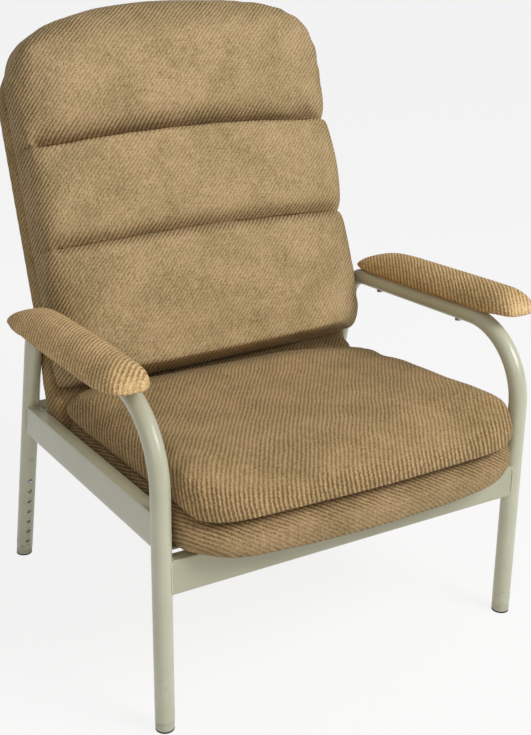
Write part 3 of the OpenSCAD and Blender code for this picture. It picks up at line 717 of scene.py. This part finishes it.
def seat_base():
    piece = copy_of("seat_base_pad", "seat_base_soft")
    even_skin(piece, SEAT_SKIN)

    def held(points):
        here = SEAT.inside(points)
        return (here[:, 2] < BASE_LOW) | (here[:, 2] > BASE_HIGH) | (here[:, 1] > BASE_REAR)

    stuff(piece, BASE_SWELL, held)
    local = SEAT.inside(points_of(piece))
    local[:, 0] *= SEAT_HALF / np.abs(local[:, 0]).max()
    local[:, 2] = np.minimum(local[:, 2], CUSHION_LOW - BASE_GAP)
    # Its rear end leans with the back.
    rise = np.clip(local[:, 2] - BASE_BOTTOM, 0, 1)
    local[:, 1] += REAR_LEAN * rise * smooth_step(local[:, 1], 0.24, 0.385)
    # The cushion presses its front edge down and back, and its front corners are cut up from below.
    local = nose_droop(local)
    front = smooth_step(-local[:, 1], -0.01, 0.05)
    local[:, 1] += TOP_BACK * front * smooth_step(local[:, 2], -0.01, 0.045)
    corner = front * smooth_step(np.abs(local[:, 0]), 0.24, 0.33)
    local[:, 2] += CORNER_RISE * corner * (1 - smooth_step(local[:, 2], BASE_BOTTOM, 0.03))
    move_points(piece, SEAT.outside(local))
    close_up(piece, BASE_CLOTH, "frame", "seat_base_pad")


seat_base()

# %% [markdown]
# ## The back
# The back is one upholstered cushion on a flat panel. Two seams are sewn through it, and they draw its front in to
# three pillows, while the cloth round its sides runs through from top to bottom. A remesh would close such narrow
# channels, so the CAD form's rows are first filled out to one plain bolster with flat sides and rolled front edges.

# %% Plain form of the back cushion
PILLOW_FOOT = 0.056
PILLOW_REAR = 0.0456
PILLOW_DEPTH = 0.124
PILLOW_SIDE = 0.030
PILLOW_HALF = 0.327
PILLOW_TOP = 0.761
PILLOW_ARCH = 0.182
CHANNELS = (0.318, 0.512)
PILLOW_ENDS = np.array((PILLOW_FOOT, *CHANNELS, PILLOW_TOP))
CAD_HALF, CAD_NARROWING = 0.328, 0.009
CAD_THIN, CAD_FULLNESS = 0.066, 0.058
CAD_ARCH_POWER, ARCH_POWER = 3.3, 3.6
END_DRAW = 0.016


def half_width(rise, power):
    """Share of the half width that is left at a height along the back, under the rounded top."""
    over = np.clip((rise - PILLOW_TOP + PILLOW_ARCH) / PILLOW_ARCH, 0, 0.985)
    return (1 - over ** power) ** (1 / power)


def filled_out(local):
    """The CAD form's points, moved out to a bolster without channels."""
    across, forward, rise = local[:, 0], -local[:, 1] - PILLOW_REAR, local[:, 2]
    pillow = np.clip(np.searchsorted(PILLOW_ENDS, rise + 1e-6) - 1, 0, 2)
    low, high = PILLOW_ENDS[pillow], PILLOW_ENDS[pillow + 1]
    share = np.clip((rise - low) / (high - low), 0, 1)
    by_seam = np.isin(np.where(share < 0.5, low, high), CHANNELS)
    fullness = (1 - np.abs(2 * share - 1) ** 3) ** 0.45
    cad_half = CAD_HALF * half_width(rise, CAD_ARCH_POWER) - CAD_NARROWING * (1 - fullness)
    cad_deep = CAD_THIN + CAD_FULLNESS * fullness
    side = across / cad_half
    front = forward / cad_deep * 2 - 1

    faces_front = front > 0
    bend = np.where(faces_front, np.where(side < 0, 0.66, 0.95), 0.6)
    deep = np.where(by_seam, PILLOW_DEPTH, cad_deep)
    reach = np.where(faces_front, deep - PILLOW_SIDE, PILLOW_SIDE)
    drawn = np.where(by_seam, 0, END_DRAW) * (1 - fullness)
    across = np.sign(side) * np.abs(side) ** bend * (PILLOW_HALF * half_width(rise, ARCH_POWER) - drawn)
    forward = PILLOW_SIDE + np.sign(front) * np.abs(front) ** bend * reach
    return np.column_stack((across, -PILLOW_REAR - forward, rise))


print("pillows between", PILLOW_ENDS, "along the back")

# %% [markdown]
# The skin is stuffed with its rear and its two seams held, so it swells between them. Then the channels are sewn in.
# Near a seam the front sinks, further along the middle than at the sides, and the points move towards the seam,
# as thread pulls the two lips of cloth together: the crease becomes a tight dark line. Each seam rises a little to
# the middle of the back, nips the cloth in where it runs round the side, and gathers it in small puckers.

# %% Seams of the back cushion
LIP, LIP_PULL = 0.034, 1.7
WALL = 0.0048
WAVER = 0.0022
PUCKER, PUCKER_REACH = 0.0018, 0.016
NIP = {"left": (0.012, 0.008), "right": (0.009, 0.015)}
SEAMS = {0.318: {"middle": 0.3205, "fall": 0.008, "over": 0.038, "under": 0.026, "sink": 0.030},
         0.512: {"middle": 0.511, "fall": 0.012, "over": 0.055, "under": 0.017, "sink": 0.048}}


def seam_height(channel, across):
    """Height along the back of a sewn seam."""
    seam = SEAMS[channel]
    fall = seam["fall"] * np.where(across < 0, 1, 0.35)
    return seam["middle"] - fall * np.minimum((across / 0.25) ** 2, 1)


def rolled(away, radius, sink):
    """How far a round lip lies under the crown, with a steep wall down to the thread."""
    inside = radius - np.minimum(away, radius)
    wall = np.clip(1 - away / WALL, 0, 1)
    return radius - np.sqrt(radius ** 2 - inside ** 2) + (sink - radius) * wall


def sew_seam(local, channel):
    """Sinks the front along one seam and draws its lips together."""
    across = local[:, 0]
    waver = np.array([noise.noise((x * 14, channel * 50, 0)) for x in across]) * WAVER
    off = local[:, 2] - seam_height(channel, across) - waver
    away = np.abs(off)
    in_front = smooth_step(-local[:, 1] - PILLOW_REAR, 0.03, 0.09)
    to_side = np.where(across < 0, smooth_step(-across, 0.298, 0.328), 0.7 * smooth_step(across, 0.25, 0.318))
    drawn = np.where(away < LIP, LIP * (away / LIP) ** LIP_PULL, away)
    away += (drawn - away) * (1 - 0.5 * to_side)
    gather = np.array([noise.noise((x * 75, (y > 0) * 3, channel * 9)) for x, y in zip(across, off)])
    radius = np.where(off > 0, SEAMS[channel]["over"], SEAMS[channel]["under"])
    sink = rolled(away, radius, SEAMS[channel]["sink"]) * (1 - 0.75 * to_side)
    sink -= PUCKER * gather * np.exp(-away / PUCKER_REACH)
    at_side = smooth_step(np.abs(across), 0.285, 0.318) * smooth_step(-local[:, 1] - PILLOW_REAR, 0.02, 0.06)
    nip, nip_reach = (np.where(across < 0, *pair) for pair in zip(NIP["left"], NIP["right"]))
    local[:, 0] -= np.sign(across) * nip * np.exp(-np.abs(off) / nip_reach) * at_side
    local[:, 2] += np.sign(off) * (away - np.abs(off)) * in_front
    local[:, 1] += sink * in_front
    return local


print("seams in the middle at", [seam["middle"] for seam in SEAMS.values()])


# %% Settled filling
BULGE, TOP_LEAN = 0.006, 0.005
CROWN_RISE, SHOULDER_DROP = 0.006, 0.017
FOOT_FILL = 0.95
FOOT_RAISE, FOOT_RAISE_RIGHT = 0.010, 0.009


def square_edge(local, edge):
    """Squares the edge along which the cushion and the panel meet, so that their sides run on."""
    half = PILLOW_HALF * half_width(local[:, 2], ARCH_POWER)
    share = np.abs(local[:, 0]) / half
    near = edge & (share > 0.90)
    local[near, 0] *= np.interp(share[near], (0.90, 0.955, 1, 1.2), (0.90, 0.985, 1, 1.2)) / share[near]
    return local


def settled(local):
    """The filling has settled to one side: the right bulges, the left shoulder hangs, and the foot is full."""
    right = smooth_step(local[:, 0], 0.10, 0.30)
    local[:, 0] += BULGE * right * (1 - np.cos(math.tau * np.interp(local[:, 2], PILLOW_ENDS, (0, 1, 2, 3)))) / 2
    top = smooth_step(local[:, 2], 0.54, 0.72)
    local[:, 0] += TOP_LEAN * top
    crown = smooth_step(local[:, 2], 0.60, 0.74)
    local[:, 2] += crown * (CROWN_RISE * right - SHOULDER_DROP * smooth_step(-local[:, 0], 0.0, 0.28))
    forward = -local[:, 1] - PILLOW_REAR
    low = 1 - smooth_step(local[:, 2], 0.085, 0.16)
    low *= 1 - smooth_step(np.abs(local[:, 0]), 0.22, 0.31)
    hollow = np.maximum(PILLOW_DEPTH - 0.004 - forward, 0)
    local[:, 1] -= FOOT_FILL * low * hollow * smooth_step(forward, 0.045, 0.09)
    foot = 1 - smooth_step(local[:, 2], PILLOW_FOOT, 0.13)
    local[:, 2] += foot * (FOOT_RAISE + FOOT_RAISE_RIGHT * smooth_step(local[:, 0], -0.3, 0.3))
    return local


print("the foot rises by", FOOT_RAISE, "to", round(FOOT_RAISE + FOOT_RAISE_RIGHT, 3))

# %% Back cushion
BACK_SKIN = 0.008
BACK_SWELL = 0.010
HELD_BAND = 0.006
SIDE_PROUD, TOP_PROUD = 0.003, 0.004


def back_cushion():
    piece = copy_of("back_cushion", "back_cushion_soft")
    move_points(piece, BACK.outside(filled_out(BACK.inside(points_of(piece)))))
    even_skin(piece, BACK_SKIN, 2)

    def held(points):
        here = BACK.inside(points)
        keep = -here[:, 1] - PILLOW_REAR < HELD_BAND
        for channel in CHANNELS:
            keep |= np.abs(here[:, 2] - seam_height(channel, here[:, 0])) < HELD_BAND
        return keep

    stuff(piece, BACK_SWELL, held)
    finish_modifier(piece, "SUBSURF", levels=1, render_levels=1)
    local = BACK.inside(points_of(piece))
    local[:, 0] *= (PILLOW_HALF + SIDE_PROUD) / np.abs(local[:, 0]).max()
    forward = np.maximum(-local[:, 1] - PILLOW_REAR, 0)
    local[:, 1] = -PILLOW_REAR - forward * PILLOW_DEPTH / forward.max()
    upper = np.maximum(local[:, 2] - CHANNELS[1], 0)
    local[:, 2] += upper * ((PILLOW_TOP + TOP_PROUD - CHANNELS[1]) / upper.max() - 1)
    local = settled(square_edge(local, forward < 0.02))
    for channel in CHANNELS:
        local = sew_seam(local, channel)
    move_points(piece, BACK.outside(local))
    close_up(piece, BACK_CLOTH, "frame", "back_cushion", levels=0)


back_cushion()


# %% Back panel
PANEL_SKIN = 0.009
PANEL_SWELL = 0.006
PANEL_HALF = 0.331
PANEL_LIMIT = 0.3366
PANEL_GAP = 0.0004
FOOT_FORWARD, FOOT_DROP = 0.022, 0.022
FLARE_LEFT, FLARE_RIGHT = 0.022, -0.02


def back_panel():
    piece = copy_of("back_panel_pad", "back_panel_soft")
    even_skin(piece, PANEL_SKIN)

    def held(points):
        here = BACK.inside(points)
        middle = np.abs(here[:, 0]) < 0.30
        return (here[:, 1] > -0.014) | (here[:, 1] < -0.044) | (middle & (here[:, 2] < 0.6))

    stuff(piece, PANEL_SWELL, held)
    local = BACK.inside(points_of(piece))
    local[:, 1] = np.maximum(local[:, 1], -PILLOW_REAR + PANEL_GAP)
    local[:, 0] *= PANEL_HALF / np.abs(local[:, 0]).max()
    local = square_edge(local, (local[:, 1] < -0.028) & (local[:, 2] < 0.52))
    # Under the cushion the panel comes forward, flares out on the left, and goes down behind the seat.
    below = smooth_step(PILLOW_FOOT - local[:, 2], -0.03, 0.03) * smooth_step(-local[:, 1], 0.01, 0.04)
    under = local[:, 2] < PILLOW_FOOT - 0.004
    local[:, 1] -= np.where(under, FOOT_FORWARD * below, 0)
    flare = np.where(local[:, 0] < 0, FLARE_LEFT, FLARE_RIGHT)
    local[:, 0] *= 1 + flare * smooth_step(-local[:, 2], -0.17, -0.06)
    local[:, 0] = np.clip(local[:, 0], -PANEL_LIMIT, PANEL_LIMIT)
    local[:, 2] -= FOOT_DROP * smooth_step(-local[:, 2], -0.06, 0.0)
    move_points(piece, BACK.outside(local))
    close_up(piece, SIDE_CLOTH, "frame", "back_panel_pad")


back_panel()

# %% [markdown]
# ## The arm pads
# Each arm has a plywood core on its tube under a domed pad. The cloth is pulled tight over the foam and tucked under
# the core, so the underside is held and only the dome swells.

# %% Arm pads
ARM_LOW = 0.0166
ARM_SHIFT = 0.025
ARM_SKIN = 0.005
ARM_SWELL = 0.006
ARM_TUCK = 0.011
ARM_END = 0.07
WIDER, WIDER_NOSE, WIDER_TAIL = 0.05, 0.12, 0.20
NOSE_REACH, TAIL_REACH = 0.008, 0.003
NOSE_RISE, NOSE_PUCKER = 0.003, 0.0016


def arm_pad(side):
    piece = copy_of(f"arm_pad_{side}", f"arm_pad_soft_{side}")
    even_skin(piece, ARM_SKIN)
    lean = ARMS[side]

    def held(points):
        return lean.inside(points)[:, 2] < ARM_LOW + ARM_TUCK

    stuff(piece, ARM_SWELL, held)
    local = lean.inside(points_of(piece))
    across = ARM_SHIFT if side == "right" else -ARM_SHIFT
    upper = np.clip((local[:, 2] - ARM_LOW) / 0.02, 0, 1)
    nose = 1 - smooth_step(local[:, 1] - local[:, 1].min(), 0, ARM_END)
    tail = smooth_step(local[:, 1] - local[:, 1].max(), -ARM_END, 0)
    wider = WIDER + WIDER_NOSE * nose + WIDER_TAIL * tail
    local[:, 0] = across + (local[:, 0] - across) * (1 + wider * upper)
    local[:, 1] += TAIL_REACH * tail - NOSE_REACH * nose
    pucker = np.array([noise.noise((x * 110, y * 20, 0)) for x, y in local[:, :2]])
    local[:, 2] += (NOSE_RISE + NOSE_PUCKER * pucker) * nose * upper
    move_points(piece, lean.outside(local))
    close_up(piece, ARM_CLOTH[side], "frame", f"arm_pad_{side}")


for side in ARMS:
    arm_pad(side)

# %% [markdown]
# ## Stage and light
# A wide pale floor catches the shadow, and one large soft light high at the front right does the modelling, with a
# weaker, warmer one from the left and an even sky. Camera rays see a white surround, as in the picture.

# %% Floor, sky and lamps
FLOOR_SIZE = 90
FLOOR_GLOW = 0.85


def pale_floor():
    bpy.ops.object.select_all(action="DESELECT")
    bpy.ops.mesh.primitive_plane_add(size=FLOOR_SIZE)
    floor = bpy.context.object
    floor.name = "studio_floor"
    surface = Finish("studio_floor", Base_Color=(0.88, 0.88, 0.87, 1), Roughness=0.9)
    rays = surface.tree.nodes.new("ShaderNodeLightPath")
    seen = Wire(surface, rays.outputs["Is Camera Ray"]) + Wire(surface, rays.outputs["Is Glossy Ray"])
    glow = surface.add("ShaderNodeEmission", None, {"Color": (1, 1, 1, 1), "Strength": 1.0})
    plain = Wire(surface, surface.shader.outputs[0])
    both = surface.add("ShaderNodeMixShader", None, {0: seen * FLOOR_GLOW, 1: plain, 2: glow})
    surface.feed(surface.tree.nodes["Material Output"].inputs["Surface"], both)
    floor.data.materials.append(surface.material)


def white_sky(strength):
    world = bpy.data.worlds.new("studio_sky")
    world.use_nodes = True
    scene.world = world
    nodes, links = world.node_tree.nodes, world.node_tree.links
    sky = nodes["Background"]
    sky.inputs["Color"].default_value = (1, 1, 1, 1)
    rays = nodes.new("ShaderNodeLightPath")
    seen = nodes.new("ShaderNodeMath")
    seen.operation = "MAXIMUM"
    links.new(rays.outputs["Is Camera Ray"], seen.inputs[0])
    links.new(rays.outputs["Is Transmission Ray"], seen.inputs[1])
    level = nodes.new("ShaderNodeMapRange")
    level.inputs["To Min"].default_value = strength
    level.inputs["To Max"].default_value = 1.0
    links.new(seen.outputs[0], level.inputs["Value"])
    links.new(level.outputs[0], sky.inputs["Strength"])


def soft_lamp(name, place, target, size, watts, colour=(1, 1, 1)):
    bpy.ops.object.light_add(type="AREA", location=place)
    lamp = bpy.context.object
    lamp.name = name
    lamp.data.size = size
    lamp.data.energy = watts
    lamp.data.color = colour
    lamp.rotation_euler = (Vector(target) - Vector(place)).to_track_quat("-Z", "Y").to_euler()


pale_floor()
white_sky(strength=0.31)
soft_lamp("key_lamp", place=(1.35, -2.5, 2.75), target=(0, 0, 0.6), size=1.6, watts=78)
soft_lamp("fill_lamp", place=(-1.8, -2.3, 2.1), target=(0, 0, 0.5), size=1.6, watts=14, colour=(1, 0.92, 0.78))
